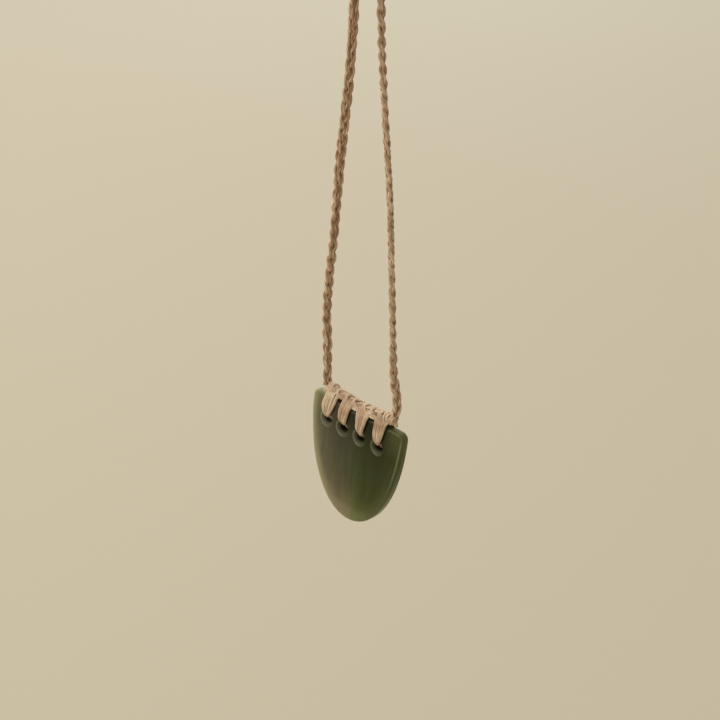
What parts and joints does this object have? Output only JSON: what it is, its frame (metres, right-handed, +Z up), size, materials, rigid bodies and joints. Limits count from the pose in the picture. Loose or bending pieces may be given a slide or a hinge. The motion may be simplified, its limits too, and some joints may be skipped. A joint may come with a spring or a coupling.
{
  "type": "greenstone breastplate pendant on a plaited cord",
  "caption": "Polished greenstone breastplate, rounded below, lashed through a row of holes to a knotted rail on a plaited neck cord that hangs in a loop.",
  "frame": {"origin": "underside of the top of the neck cord's loop, where a peg carries it", "axes": "+Z up, -Y out of the stone's crowned front, +X to the right seen from the front"},
  "size_m": [0.053, 0.008, 0.3315],
  "materials": {
    "greenstone": "polished nephrite, dark olive green, paler and slightly translucent at its rim",
    "lashing_thread": "fine waxed tan thread laid side by side",
    "plaited_cord": "flat three-strand plait of fine brown waxed thread"
  },
  "bodies": {
    "root": {"greenstone_plate": "greenstone", "lashing_1": "lashing_thread", "lashing_2": "lashing_thread", "lashing_3": "lashing_thread", "lashing_4": "lashing_thread", "top_rail": "lashing_thread", "neck_cord": "plaited_cord", "nape_whipping": "lashing_thread"}
  },
  "joints": []
}
